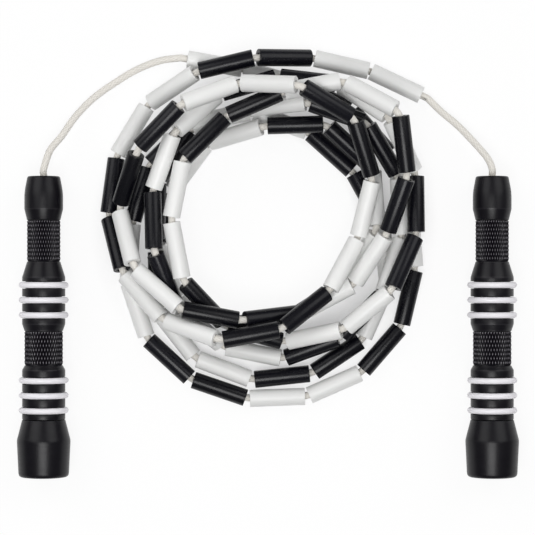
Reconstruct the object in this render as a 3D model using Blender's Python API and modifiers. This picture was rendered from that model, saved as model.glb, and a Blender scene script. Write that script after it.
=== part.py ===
"""A beaded jump rope with two ball-bearing handles, laid flat with its rope in a loose coil.

Metres, +Z up. The origin is on the floor, midway between the two handles.
"""

import math

import bmesh
import bpy
import numpy as np
from mathutils import Matrix, Vector

MM = 0.001

# Clearances
SEAT_GAP = 0.3 * MM
RUNNING_GAP = 0.25 * MM
BEAD_CLEARANCE = 0.5 * MM

# Handle, measured along its axis from the nose
HANDLE_SPACING = 203.4 * MM
COLLAR_LENGTH = 19.4 * MM
COLLAR_NOSE_DIAMETER = 14.7 * MM
COLLAR_DIAMETER = 17.5 * MM
COLLAR_SHOULDER = 7.3 * MM
COLLAR_TAPER_LENGTH = 4.5 * MM
FRONT_GRIP_DIAMETER = 15.2 * MM
FRONT_GRIP_LENGTH = 19.6 * MM
FLARE_LENGTH = 6.8 * MM
BAND_DIAMETER = 19.5 * MM
FRONT_BAND_LENGTH = 21.2 * MM
REAR_GRIP_DIAMETER = 17.5 * MM
REAR_GRIP_LENGTH = 16.2 * MM
GRIP_STEP = 2.9 * MM
REAR_STEP = 1.7 * MM
REAR_BAND_LENGTH = 22.3 * MM
BELL_LENGTH = 26.3 * MM
BELL_FLARE = 9.6 * MM
BELL_DIAMETER = 24.3 * MM
BUTT_DIAMETER = 22.7 * MM
BUTT_ROUNDING = 2.2 * MM
EDGE = 0.6 * MM
BARREL_BORE = 10.0 * MM
TURNED_STEPS = 20

# Grip rings, three on each band
RING_SECTION = 2.7 * MM
RING_OUTER_DIAMETER = 22.5 * MM
RING_PITCH = 6.8 * MM
RINGS_PER_BAND = 3
FRONT_RING_INSET = 3.5 * MM
REAR_RING_INSET = 4.7 * MM

# Swivel inside the collar
BEARING_BORE = 6.0 * MM
BEARING_DIAMETER = 12.0 * MM
BEARING_WIDTH = 4.0 * MM
BEARING_INSET = 7.7 * MM
RACE_WALL = 1.0 * MM
RACEWAY_DEPTH = 0.5 * MM
BALL_DIAMETER = 1.5 * MM
BALL_COUNT = 8
CAGE_WIDTH = 1.0 * MM
SLEEVE_WALL = 0.75 * MM
SLEEVE_SETBACK = 0.5 * MM
FLANGE_DIAMETER = 8.6 * MM
FLANGE_THICKNESS = 1.0 * MM
CLIP_THICKNESS = 0.8 * MM
CLIP_DEPTH = 0.8 * MM
CLIP_WIDTH = 1.7 * MM
CLIP_MOUTH = 4.0 * MM
SPIGOT_WALL = 1.2 * MM
PLUG_LENGTH = 10.0 * MM
WASHER_DIAMETER = 9.2 * MM
WASHER_THICKNESS = 1.0 * MM
KNOT_DIAMETER = 8.2 * MM
KNOT_LENGTH = 7.0 * MM

# Cord and beads
CORD_DIAMETER = 3.3 * MM
BEAD_LENGTH = 25.2 * MM
BEAD_DIAMETER = 7.9 * MM
BEAD_BORE = 4.2 * MM
BEAD_EDGE = 0.4 * MM
BEAD_COUNT = 98
LOOSE_BEADS = 8
LEAST_JOINT_GAP = 0.8 * MM
CORD_STEP = 0.35 * MM
CORD_STUB = 3.3 * MM

# Coil: how far the rope lies from the middle at each eighth of a turn, in bead lengths, read by eye
# off the photo to a twentieth, counter-clockwise from the right
COIL_CENTRE = (-1.8 * MM, 45.6 * MM)
COIL_START_DEG = 39.6
MARKS_PER_TURN = 8
COIL_REACH = (
    (4.8, 3.6, 3.05, 3.05, 2.8, 2.45, 1.95, 1.65),
    (1.75, 2.45, 2.55, 2.6, 2.6, 2.1, 1.65, 1.85),
    (2.25, 3.15, 2.25, 1.9, 1.65, 1.8, 2.05, 2.4),
    (2.75, 2.95, 2.65, 2.3, 2.0, 2.15, 2.4, 2.45),
    (2.5, 2.6, 2.15, 2.2, 1.95, 2.05, 1.75, 1.75),
    (2.05, 2.25, 1.8, 1.85, 1.85, 2.55, 2.8, 2.7),
    (2.15, 1.85, 2.05, 2.35, 2.4, 2.95, 3.15, 3.15),
    (2.7, 2.65, 2.75, 3.8),
)
ROUTE_STEP_DEG = 1.0
TUCKED_BEADS = range(5, 10)
TUCKED_UNDER_BEAD = 22
SETTLE_ROUNDS = 600
SETTLE_TOLERANCE = 0.01 * MM
FLOOR_GAP = 0.1 * MM

# Free cord between each handle and the coil: across, along and up, in millimetres
LEFT_LEAD = (
    (-98.9, 80.1, 10.6),
    (-93.7, 86.9, 8.2),
    (-88.0, 95.5, 5.6),
    (-80.0, 104.1, 3.4),
    (-70.8, 110.9, 2.4),
    (-60.1, 117.4, 2.1),
    (-49.5, 121.4, 2.8),
)
RIGHT_LEAD = (
    (99.6, 76.5, 11.2),
    (93.4, 84.2, 8.6),
    (86.2, 91.9, 6.2),
    (79.4, 97.8, 4.7),
)
LEAD_SPACING = 8.0 * MM

# Distances along the handle that follow from the sizes above
GRIP_START = COLLAR_LENGTH + SEAT_GAP
GRIP_END = COLLAR_LENGTH + FRONT_GRIP_LENGTH
FRONT_BAND_START = GRIP_END + FLARE_LENGTH
FRONT_BAND_END = FRONT_BAND_START + FRONT_BAND_LENGTH
REAR_GRIP_START = FRONT_BAND_END + GRIP_STEP
REAR_GRIP_END = REAR_GRIP_START + REAR_GRIP_LENGTH
REAR_BAND_START = REAR_GRIP_END + REAR_STEP
BARREL_END = REAR_BAND_START + REAR_BAND_LENGTH
HANDLE_LENGTH = BARREL_END + BELL_LENGTH
AXIS_HEIGHT = BELL_DIAMETER / 2
NOSE_Y = HANDLE_LENGTH / 2
BEARING_END = BEARING_INSET + BEARING_WIDTH
FLANGE_START = BEARING_END + SEAT_GAP
WASHER_START = FLANGE_START + FLANGE_THICKNESS + SEAT_GAP
CORD_END = WASHER_START + WASHER_THICKNESS
KNOT_START = CORD_END + SEAT_GAP
CLIP_START = BEARING_END + SEAT_GAP
COLLAR_BORE_RADIUS = BEARING_DIAMETER / 2 + SEAT_GAP
CLIP_GROOVE_END = CLIP_START + CLIP_THICKNESS + SEAT_GAP
SPIGOT_START = CLIP_GROOVE_END + SEAT_GAP
SPIGOT_RADIUS = BARREL_BORE / 2 + SPIGOT_WALL
SLEEVE_BORE_RADIUS = CORD_DIAMETER / 2 + SEAT_GAP
SLEEVE_RADIUS = SLEEVE_BORE_RADIUS + SLEEVE_WALL
RING_RADIUS = (RING_OUTER_DIAMETER - RING_SECTION) / 2
GROOVE_RADIUS = RING_RADIUS - RING_SECTION / 2 - SEAT_GAP
GROOVE_HALF_WIDTH = RING_SECTION / 2 + SEAT_GAP
BALL_PITCH_RADIUS = (BEARING_BORE + BEARING_DIAMETER) / 4


def clear_scene():
    for obj in list(bpy.data.objects):
        bpy.data.objects.remove(obj, do_unlink=True)


def make_collection(name):
    collection = bpy.data.collections.new(name)
    bpy.context.scene.collection.children.link(collection)
    return collection


def make_material(name, colour, roughness, metallic=0.0):
    material = bpy.data.materials.new(name)
    material.use_nodes = True
    shader = material.node_tree.nodes["Principled BSDF"]
    shader.inputs["Base Color"].default_value = (*colour, 1.0)
    shader.inputs["Roughness"].default_value = roughness
    shader.inputs["Metallic"].default_value = metallic
    return material


def add_part(name, data, material, parent=None):
    obj = bpy.data.objects.new(name, data)
    data.materials.append(material)
    PARTS.objects.link(obj)
    obj.parent = parent
    return obj


def smooth(mesh):
    mesh.shade_smooth()
    mesh.set_sharp_from_angle(angle=math.radians(35))


def turned_mesh(name, profile, closed=True):
    """A profile of (distance from the nose, radius) points, outer side first."""
    points = [(radius, 0.0, -along) for along, radius in profile]
    edges = [(i, i + 1) for i in range(len(points) - 1)]
    if closed:
        edges.append((len(points) - 1, 0))
    mesh = bpy.data.meshes.new(name)
    mesh.from_pydata(points, edges, [])
    return mesh


def add_turned(name, profile, material, parent, closed=True, steps=TURNED_STEPS):
    obj = add_part(name, turned_mesh(name, profile, closed), material, parent)
    screw = obj.modifiers.new("Turn", "SCREW")
    screw.steps = steps
    screw.render_steps = steps
    screw.use_merge_vertices = True
    screw.merge_threshold = 0.01 * MM
    screw.use_smooth_shade = True
    return obj


def collar_profile():
    nose_hole = SLEEVE_RADIUS + SEAT_GAP
    groove = COLLAR_BORE_RADIUS + CLIP_DEPTH
    taper_start = COLLAR_LENGTH - COLLAR_TAPER_LENGTH
    return [
        (0.0, COLLAR_NOSE_DIAMETER / 2 - EDGE),
        (EDGE, COLLAR_NOSE_DIAMETER / 2),
        (COLLAR_SHOULDER, COLLAR_DIAMETER / 2),
        (taper_start, COLLAR_DIAMETER / 2),
        (COLLAR_LENGTH, FRONT_GRIP_DIAMETER / 2),
        (COLLAR_LENGTH, SPIGOT_RADIUS + SEAT_GAP),
        (CLIP_GROOVE_END, SPIGOT_RADIUS + SEAT_GAP),
        (CLIP_GROOVE_END, groove),
        (BEARING_END, groove),
        (BEARING_END, COLLAR_BORE_RADIUS),
        (BEARING_INSET - SEAT_GAP, COLLAR_BORE_RADIUS),
        (BEARING_INSET - SEAT_GAP, nose_hole),
        (0.0, nose_hole),
    ]


def ring_places():
    front = [FRONT_BAND_START + FRONT_RING_INSET + i * RING_PITCH for i in range(RINGS_PER_BAND)]
    rear = [REAR_BAND_START + REAR_RING_INSET + i * RING_PITCH for i in range(RINGS_PER_BAND)]
    return front, rear


def grooves(places):
    """The points that cut one ring groove at each place into a band."""
    points = []
    for place in places:
        points += [
            (place - GROOVE_HALF_WIDTH, BAND_DIAMETER / 2),
            (place - GROOVE_HALF_WIDTH, GROOVE_RADIUS),
            (place + GROOVE_HALF_WIDTH, GROOVE_RADIUS),
            (place + GROOVE_HALF_WIDTH, BAND_DIAMETER / 2),
        ]
    return points


def barrel_profile():
    front, rear = ring_places()
    return [
        (SPIGOT_START, SPIGOT_RADIUS),
        (GRIP_START, SPIGOT_RADIUS),
        (GRIP_START, FRONT_GRIP_DIAMETER / 2),
        (GRIP_END, FRONT_GRIP_DIAMETER / 2),
        (FRONT_BAND_START, BAND_DIAMETER / 2),
        *grooves(front),
        (FRONT_BAND_END, BAND_DIAMETER / 2),
        (REAR_GRIP_START, REAR_GRIP_DIAMETER / 2),
        (REAR_GRIP_END, REAR_GRIP_DIAMETER / 2),
        (REAR_BAND_START, BAND_DIAMETER / 2),
        *grooves(rear),
        (BARREL_END, BAND_DIAMETER / 2),
        (BARREL_END, BARREL_BORE / 2),
        (SPIGOT_START, BARREL_BORE / 2),
    ]


def bell_profile():
    """The weighted end cap, from the tip of its plug to the middle of its butt."""
    face = BARREL_END + SEAT_GAP
    plug_radius = BARREL_BORE / 2 - SEAT_GAP
    corner = [math.radians(angle) for angle in (0, 30, 60, 90)]
    rounding = [
        (
            HANDLE_LENGTH - BUTT_ROUNDING * (1 - math.sin(angle)),
            BUTT_DIAMETER / 2 - BUTT_ROUNDING * (1 - math.cos(angle)),
        )
        for angle in corner
    ]
    return [
        (BARREL_END - PLUG_LENGTH, 0.0),
        (BARREL_END - PLUG_LENGTH, plug_radius),
        (face, plug_radius),
        (face, BAND_DIAMETER / 2),
        (BARREL_END + BELL_FLARE, BELL_DIAMETER / 2),
        *rounding,
        (HANDLE_LENGTH, 0.0),
    ]


def race_profile(inner_side):
    """A bearing race with its raceway, on the inner or the outer side of the balls."""
    middle = BEARING_INSET + BEARING_WIDTH / 2
    lip = BALL_DIAMETER / 2 + SEAT_GAP / 2
    flat = BALL_DIAMETER / 4
    if inner_side:
        back, face, deep = (
            BEARING_BORE / 2,
            BEARING_BORE / 2 + RACE_WALL,
            BEARING_BORE / 2 + RACE_WALL - RACEWAY_DEPTH,
        )
    else:
        back, face, deep = (
            BEARING_DIAMETER / 2,
            BEARING_DIAMETER / 2 - RACE_WALL,
            BEARING_DIAMETER / 2 - RACE_WALL + RACEWAY_DEPTH,
        )
    track = [
        (BEARING_INSET, face),
        (middle - lip, face),
        (middle - flat, deep),
        (middle + flat, deep),
        (middle + lip, face),
        (BEARING_END, face),
    ]
    rear = [(BEARING_INSET, back), (BEARING_END, back)]
    if inner_side:
        return track + rear[::-1]
    return rear + track[::-1]


def sleeve_profile():
    return [
        (SLEEVE_SETBACK, SLEEVE_RADIUS),
        (FLANGE_START, SLEEVE_RADIUS),
        (FLANGE_START, FLANGE_DIAMETER / 2),
        (FLANGE_START + FLANGE_THICKNESS, FLANGE_DIAMETER / 2),
        (FLANGE_START + FLANGE_THICKNESS, SLEEVE_BORE_RADIUS),
        (SLEEVE_SETBACK, SLEEVE_BORE_RADIUS),
    ]


def plain_ring(start, length, outer, inner):
    return [(start, outer), (start + length, outer), (start + length, inner), (start, inner)]


def add_cutter(name, size, location, parent):
    mesh = bpy.data.meshes.new(name)
    shape = bmesh.new()
    bmesh.ops.create_cube(shape, size=1.0, matrix=Matrix.Diagonal((*size, 1.0)))
    shape.to_mesh(mesh)
    shape.free()
    cutter = bpy.data.objects.new(name, mesh)
    CUTTERS.objects.link(cutter)
    cutter.parent = parent
    cutter.location = location
    cutter.hide_render = True
    cutter.display_type = "WIRE"
    return cutter


def add_clip(side, material, axis):
    """The spring clip behind the bearing, open at one side."""
    outer = COLLAR_BORE_RADIUS + CLIP_DEPTH - SEAT_GAP
    profile = plain_ring(CLIP_START, CLIP_THICKNESS, outer, outer - CLIP_WIDTH)
    clip = add_turned(f"{side}_bearing_clip", profile, material, axis)
    middle = -(CLIP_START + CLIP_THICKNESS / 2)
    cutter = add_cutter(
        f"{side}_clip_mouth",
        (2 * CLIP_WIDTH, CLIP_MOUTH, 3 * CLIP_THICKNESS),
        (outer - CLIP_WIDTH / 2, 0.0, middle),
        axis,
    )
    cut = clip.modifiers.new("Mouth", "BOOLEAN")
    cut.operation = "DIFFERENCE"
    cut.object = cutter


def add_ball_cage(side, material, axis):
    """The ring that spaces the balls, with the balls fused to it."""
    middle = BEARING_INSET + BEARING_WIDTH / 2
    half = (BEARING_DIAMETER / 2 - BEARING_BORE / 2 - 2 * RACE_WALL) / 2 - RUNNING_GAP
    profile = plain_ring(
        middle - CAGE_WIDTH / 2, CAGE_WIDTH, BALL_PITCH_RADIUS + half, BALL_PITCH_RADIUS - half
    )
    cage = add_turned(f"{side}_ball_cage", profile, material, axis)
    balls = bmesh.new()
    for index in range(BALL_COUNT):
        angle = 2 * math.pi * index / BALL_COUNT
        place = (BALL_PITCH_RADIUS * math.cos(angle), BALL_PITCH_RADIUS * math.sin(angle), -middle)
        bmesh.ops.create_uvsphere(
            balls, u_segments=8, v_segments=6, radius=BALL_DIAMETER / 2, matrix=Matrix.Translation(place)
        )
    mesh = bpy.data.meshes.new(f"{side}_balls")
    balls.to_mesh(mesh)
    balls.free()
    cutter = bpy.data.objects.new(f"{side}_balls", mesh)
    CUTTERS.objects.link(cutter)
    cutter.parent = axis
    cutter.hide_render = True
    cutter.display_type = "WIRE"
    join = cage.modifiers.new("Balls", "BOOLEAN")
    join.operation = "UNION"
    join.object = cutter


def add_knot(side, material, axis):
    mesh = bpy.data.meshes.new(f"{side}_cord_knot")
    shape = bmesh.new()
    stretch = Matrix.Diagonal((KNOT_DIAMETER / 2, KNOT_DIAMETER / 2, KNOT_LENGTH / 2, 1.0))
    bmesh.ops.create_uvsphere(shape, u_segments=12, v_segments=8, radius=1.0, matrix=stretch)
    shape.to_mesh(mesh)
    shape.free()
    smooth(mesh)
    knot = add_part(f"{side}_cord_knot", mesh, material, axis)
    knot.location = (0.0, 0.0, -(KNOT_START + KNOT_LENGTH / 2))


def add_grip_rings(side, material, axis):
    front, rear = ring_places()
    for index, place in enumerate(front + rear, start=1):
        bpy.ops.mesh.primitive_torus_add(
            major_segments=TURNED_STEPS,
            minor_segments=6,
            major_radius=RING_RADIUS,
            minor_radius=RING_SECTION / 2,
        )
        mesh = bpy.context.object.data
        bpy.data.objects.remove(bpy.context.object, do_unlink=True)
        mesh.shade_smooth()
        ring = add_part(f"{side}_grip_ring_{index}", mesh, material, axis)
        ring.location = (0.0, 0.0, -place)


def add_handle(side, across):
    """One handle on an empty at its nose, whose Z axis points out of the nose."""
    axis = bpy.data.objects.new(f"{side}_handle_axis", None)
    PARTS.objects.link(axis)
    axis.location = (across, NOSE_Y, AXIS_HEIGHT)
    axis.rotation_euler = (math.radians(-90), 0.0, 0.0)
    add_turned(f"{side}_nose_collar", collar_profile(), ANODISED, axis)
    add_turned(f"{side}_grip_barrel", barrel_profile(), ANODISED, axis)
    add_turned(f"{side}_end_bell", bell_profile(), ANODISED, axis, closed=False)
    add_grip_rings(side, RING_RUBBER, axis)
    add_turned(f"{side}_bearing_outer_race", race_profile(inner_side=False), STEEL, axis)
    add_turned(f"{side}_bearing_inner_race", race_profile(inner_side=True), STEEL, axis)
    add_ball_cage(side, STEEL, axis)
    add_turned(f"{side}_swivel_sleeve", sleeve_profile(), BRASS, axis)
    add_clip(side, STEEL, axis)
    washer = plain_ring(WASHER_START, WASHER_THICKNESS, WASHER_DIAMETER / 2, SLEEVE_BORE_RADIUS)
    add_turned(f"{side}_stop_washer", washer, STEEL, axis)
    add_knot(side, CORD, axis)


def between(before, start, end, after, share):
    """A smooth curve from start to end, given the points on either side."""
    straight = 2 * start + (end - before) * share
    bend = (2 * before - 5 * start + 4 * end - after) * share**2
    turn = (3 * start - before - 3 * end + after) * share**3
    return (straight + bend + turn) / 2


def smooth_line(points, steps):
    """Points along a smooth curve through the given ones."""
    points = [np.array(point, float) for point in points]
    ends = [2 * points[0] - points[1], *points, 2 * points[-1] - points[-2]]
    line = [
        between(*ends[i : i + 4], step / steps) for i in range(len(points) - 1) for step in range(steps)
    ]
    return np.array([*line, points[-1]])


def spaced(line, spacing):
    """Points about this far apart along a line, with both its ends."""
    lengths = np.linalg.norm(np.diff(line, axis=0), axis=1)
    travel = np.concatenate([[0.0], np.cumsum(lengths)])
    places = np.linspace(0.0, travel[-1], max(2, round(travel[-1] / spacing) + 1))
    return np.stack([np.interp(places, travel, line[:, k]) for k in range(3)], axis=1)


def coil_line():
    """The coil's route seen from above, from its right-hand end."""
    marks = [mark * BEAD_LENGTH for turn in COIL_REACH for mark in turn]
    marks = [marks[0], *marks, marks[-1]]
    mark_deg = 360.0 / MARKS_PER_TURN
    last_deg = (len(marks) - 3) * mark_deg
    line = []
    for degrees in np.arange(COIL_START_DEG, last_deg, ROUTE_STEP_DEG):
        index, share = divmod(degrees / mark_deg, 1.0)
        index = int(index)
        reach = between(*marks[index : index + 4], share)
        angle = math.radians(degrees)
        line.append((COIL_CENTRE[0] + reach * math.cos(angle), COIL_CENTRE[1] + reach * math.sin(angle)))
    return np.array(line)


def joint_gaps(joints):
    """The gap that each joint's bend needs, so that the rims of its two beads stay apart."""
    runs = np.diff(joints, axis=0)
    runs /= np.linalg.norm(runs, axis=1)[:, None]
    bends = np.arccos(np.clip((runs[1:] * runs[:-1]).sum(axis=1), -1.0, 1.0))
    gaps = BEAD_DIAMETER * np.tan(bends / 2) + BEAD_CLEARANCE
    gaps = np.maximum(gaps, LEAST_JOINT_GAP)
    return np.concatenate([[LEAST_JOINT_GAP], gaps, [LEAST_JOINT_GAP]])


def thread_beads(line):
    """The joints between the beads, stepped along the route so that each bead fits."""
    pitches = np.full(BEAD_COUNT, BEAD_LENGTH + LEAST_JOINT_GAP)
    for _ in range(6):
        joints = [line[0]]
        place = 0
        for pitch in pitches:
            while np.linalg.norm(line[place] - joints[-1]) < pitch:
                place += 1
            near, far = line[place - 1], line[place]
            start = np.linalg.norm(near - joints[-1])
            end = np.linalg.norm(far - joints[-1])
            joints.append(near + (far - near) * (pitch - start) / (end - start))
        joints = np.array(joints)
        gaps = joint_gaps(joints)
        pitches = BEAD_LENGTH + (gaps[1:] + gaps[:-1]) / 2
    return joints


def laid_order(bead):
    """How early a bead was laid: the left end first, with one stretch tucked under the next turn."""
    return TUCKED_UNDER_BEAD + 0.5 if bead in TUCKED_BEADS else bead


def nearest_shares(start_a, run_a, start_b, run_b):
    """Where two sets of straight runs pass nearest each other, as shares of each run."""
    apart = start_a - start_b
    aa = (run_a * run_a).sum(axis=1)
    bb = (run_b * run_b).sum(axis=1)
    ab = (run_a * run_b).sum(axis=1)
    a_apart = (run_a * apart).sum(axis=1)
    b_apart = (run_b * apart).sum(axis=1)
    square = np.maximum(aa * bb - ab * ab, 1e-18)
    share_a = np.clip((ab * b_apart - a_apart * bb) / square, 0.0, 1.0)
    share_b = np.clip((ab * share_a + b_apart) / bb, 0.0, 1.0)
    share_a = np.clip((ab * share_b - a_apart) / aa, 0.0, 1.0)
    return share_a, share_b


def bead_pairs():
    """Every two beads that aren't neighbours, the one laid later first."""
    pairs = []
    for low in range(BEAD_COUNT):
        for high in range(low + 2, BEAD_COUNT):
            pair = (low, high) if laid_order(low) < laid_order(high) else (high, low)
            pairs.append(pair)
    return np.array(pairs).T


def lifts(joints, upper, lower, dimensions):
    """How far each pair's upper bead must rise where the two pass nearest, and where that is along it."""
    spread = BEAD_DIAMETER + BEAD_CLEARANCE
    runs = np.diff(joints, axis=0)
    seen = slice(0, dimensions)
    share_u, share_l = nearest_shares(
        joints[upper][:, seen], runs[upper][:, seen], joints[lower][:, seen], runs[lower][:, seen]
    )
    point_u = joints[upper] + runs[upper] * share_u[:, None]
    point_l = joints[lower] + runs[lower] * share_l[:, None]
    across = np.linalg.norm(point_u[:, :2] - point_l[:, :2], axis=1)
    needed = np.sqrt(np.maximum(spread**2 - across**2, 0.0))
    lift = np.where(across < spread, needed - (point_u[:, 2] - point_l[:, 2]), 0.0)
    return np.maximum(lift, 0.0), share_u


def settle(plan):
    """The joints with their heights, each bead raised until it clears those laid before it."""
    upper, lower = bead_pairs()
    heights = np.full(len(plan), BEAD_DIAMETER / 2 + FLOOR_GAP)
    for _ in range(SETTLE_ROUNDS):
        most = 0.0
        for dimensions in (2, 3):
            lift, share = lifts(np.column_stack([plan, heights]), upper, lower, dimensions)
            weight = share**2 + (1 - share) ** 2
            raised = np.zeros(len(plan))
            np.maximum.at(raised, upper, lift * (1 - share) / weight)
            np.maximum.at(raised, upper + 1, lift * share / weight)
            heights = heights + raised
            most = max(most, lift.max())
        if most < SETTLE_TOLERANCE:
            break
    return np.column_stack([plan, heights])


def bead_ends(joints):
    """The two end centres of each bead, midway along its run."""
    runs = np.diff(joints, axis=0)
    middles = (joints[1:] + joints[:-1]) / 2
    along = runs / np.linalg.norm(runs, axis=1)[:, None]
    return middles - along * BEAD_LENGTH / 2, middles + along * BEAD_LENGTH / 2, along


def least_gap(joints):
    """The least distance between the surfaces of two beads that aren't neighbours."""
    starts, ends, _ = bead_ends(joints)
    one, other = bead_pairs()
    runs = ends - starts
    share_a, share_b = nearest_shares(starts[one], runs[one], starts[other], runs[other])
    apart = starts[one] + runs[one] * share_a[:, None] - starts[other] - runs[other] * share_b[:, None]
    return np.linalg.norm(apart, axis=1).min() - BEAD_DIAMETER


def add_tube(name, points, radii, sides_level, material):
    """A closed tube along the points, with its own radius at each."""
    curve = bpy.data.curves.new(name, "CURVE")
    curve.dimensions = "3D"
    curve.bevel_depth = 1.0 * MM
    curve.bevel_resolution = sides_level
    curve.use_fill_caps = True
    spline = curve.splines.new("POLY")
    spline.points.add(len(points) - 1)
    for target, point, radius in zip(spline.points, points, radii):
        target.co = (*point, 1.0)
        target.radius = radius / MM
    return add_part(name, curve, material)


def add_coil(joints):
    """The beaded run past the loose beads: one tube that steps between bead and cord."""
    starts, ends, along = bead_ends(joints)
    cord = CORD_DIAMETER / 2
    points, radii = [], []
    for bead in range(LOOSE_BEADS, BEAD_COUNT):
        first = starts[bead] - along[bead] * CORD_STEP
        last = ends[bead] + along[bead] * CORD_STEP
        points += [first, starts[bead], ends[bead], last]
        radii += [cord, BEAD_DIAMETER / 2, BEAD_DIAMETER / 2, cord]
    points.append(ends[-1] + along[-1] * CORD_STUB)
    radii.append(cord)
    add_tube("beaded_coil", points, radii, 1, WHITE_BEAD)
    return points[0], points[-1], along[-1]


def add_loose_bead(index, start, end):
    """One separate bead, threaded on the cord."""
    radius = BEAD_DIAMETER / 2
    half = BEAD_LENGTH / 2
    profile = [
        (-half, radius - BEAD_EDGE),
        (BEAD_EDGE - half, radius),
        (half - BEAD_EDGE, radius),
        (half, radius - BEAD_EDGE),
        (half, BEAD_BORE / 2),
        (-half, BEAD_BORE / 2),
    ]
    material = WHITE_BEAD if (index // 2) % 2 == 0 else BLACK_BEAD
    bead = add_turned(f"bead_{index + 1}", profile, material, None, steps=12)
    direction = Vector(end - start)
    bead.location = Vector((start + end) / 2)
    bead.rotation_mode = "QUATERNION"
    bead.rotation_quaternion = direction.to_track_quat("Z", "X")


def nose_points(across):
    """The cord's straight run from its knot to just past the nose."""
    return [
        (across, NOSE_Y - CORD_END, AXIS_HEIGHT),
        (across, NOSE_Y - FLANGE_START / 2, AXIS_HEIGHT),
        (across, NOSE_Y, AXIS_HEIGHT),
        (across, NOSE_Y + CORD_DIAMETER, AXIS_HEIGHT),
    ]


def in_metres(points):
    return [tuple(value * MM for value in point) for point in points]


def add_left_lead(coil_end, coil_direction):
    """The free cord from the left handle to the coil's left end."""
    end = coil_end + coil_direction * SEAT_GAP
    route = [*nose_points(-HANDLE_SPACING / 2), *in_metres(LEFT_LEAD), end + coil_direction * CORD_STUB]
    points = [*spaced(smooth_line(route, 12), LEAD_SPACING), end]
    add_tube("left_lead", points, [CORD_DIAMETER / 2] * len(points), 2, CORD)


def add_right_lead(joints, coil_start):
    """The free cord from the right handle, on through the loose beads to the coil."""
    starts, ends, along = bead_ends(joints)
    before = starts[0] - along[0] * CORD_STUB
    route = [*nose_points(HANDLE_SPACING / 2), *in_metres(RIGHT_LEAD), before]
    points = [*spaced(smooth_line(route, 12), LEAD_SPACING), starts[0]]
    for bead in range(LOOSE_BEADS):
        points += [ends[bead], joints[bead + 1], starts[bead + 1]]
    points[-1] = coil_start - along[LOOSE_BEADS] * SEAT_GAP
    add_tube("right_lead", points, [CORD_DIAMETER / 2] * len(points), 2, CORD)


def add_rope():
    joints = settle(thread_beads(coil_line()))
    coil_start, coil_end, end_direction = add_coil(joints)
    starts, ends, _ = bead_ends(joints)
    for index in range(LOOSE_BEADS):
        add_loose_bead(index, starts[index], ends[index])
    add_left_lead(coil_end, end_direction)
    add_right_lead(joints, coil_start)
    print(f"least gap of the coil to itself: {least_gap(joints) / MM:.2f} mm")
    print(f"height of the coil: {(joints[:, 2].max() + BEAD_DIAMETER / 2) / MM:.1f} mm")


clear_scene()
PARTS = make_collection("beaded_jump_rope")
CUTTERS = make_collection("cutters")
ANODISED = make_material("black_anodised_aluminium", (0.02, 0.02, 0.022), 0.42, 0.6)
RING_RUBBER = make_material("white_ring_rubber", (0.82, 0.81, 0.85), 0.55)
STEEL = make_material("bearing_steel", (0.6, 0.6, 0.62), 0.25, 1.0)
BRASS = make_material("sleeve_brass", (0.72, 0.55, 0.25), 0.35, 1.0)
CORD = make_material("braided_cord", (0.85, 0.83, 0.78), 0.8)
WHITE_BEAD = make_material("white_bead", (0.86, 0.86, 0.87), 0.4)
BLACK_BEAD = make_material("black_bead", (0.02, 0.02, 0.022), 0.35)

add_handle("left", -HANDLE_SPACING / 2)
add_handle("right", HANDLE_SPACING / 2)
add_rope()
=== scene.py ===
"""Looks of a beaded jump rope: knurled handles, rubber grip rings, plastic beads and braided cord.

Metres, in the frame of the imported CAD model: the origin lies on the floor midway between the
handles, and +Z is up.
"""

import math

import bmesh
import bpy
import numpy as np
from mathutils import Matrix, Vector


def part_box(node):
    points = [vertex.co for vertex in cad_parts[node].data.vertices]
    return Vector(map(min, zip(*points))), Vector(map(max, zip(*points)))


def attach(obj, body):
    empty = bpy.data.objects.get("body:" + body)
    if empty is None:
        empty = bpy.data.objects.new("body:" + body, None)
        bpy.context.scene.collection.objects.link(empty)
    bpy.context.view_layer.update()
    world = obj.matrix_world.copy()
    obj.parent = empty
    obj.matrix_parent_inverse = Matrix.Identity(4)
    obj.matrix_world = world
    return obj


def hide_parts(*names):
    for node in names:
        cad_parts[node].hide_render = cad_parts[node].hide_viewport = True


MM = 0.001
SIDES = ("left", "right")
INNER_STEEL = (
    "bearing_outer_race",
    "bearing_inner_race",
    "ball_cage",
    "bearing_clip",
    "stop_washer",
)

# Camera, straight above the rope
CAMERA_AIM = (-0.2 * MM, 26.8 * MM, 12.0 * MM)
CAMERA_DISTANCE = 1.0
VIEW_WIDTH = 242.7 * MM
SENSOR_WIDTH = 36.0

# Floor: how much of its white is its own glow, away from the coil and under it
FLOOR_REACH = 3.0
FLOOR_COLOUR = (0.96, 0.96, 0.96, 1.0)
FLOOR_ROUGHNESS = 0.9
FLOOR_GLOW = 0.89
COIL_GLOW = 0.4
COIL_INNER_EDGE = (41.0 * MM, 49.0 * MM)
COIL_OUTER_EDGE = (64.0 * MM, 80.0 * MM)

# Lights: place, width and height, and power in watts
PURE_WHITE = (1.0, 1.0, 1.0, 1.0)
WORLD_STRENGTH = 0.18
LIGHT_AIM = (0.0, 0.03, 0.0)
LIGHTS = {
    "key": ((-0.06, -0.28, 1.12), (0.65, 0.5), 7.3),
    "fill": ((0.72, 0.55, 0.85), (0.9, 0.9), 4.4),
    "back": ((-0.72, 0.55, 0.85), (0.9, 0.9), 4.6),
}

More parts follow.
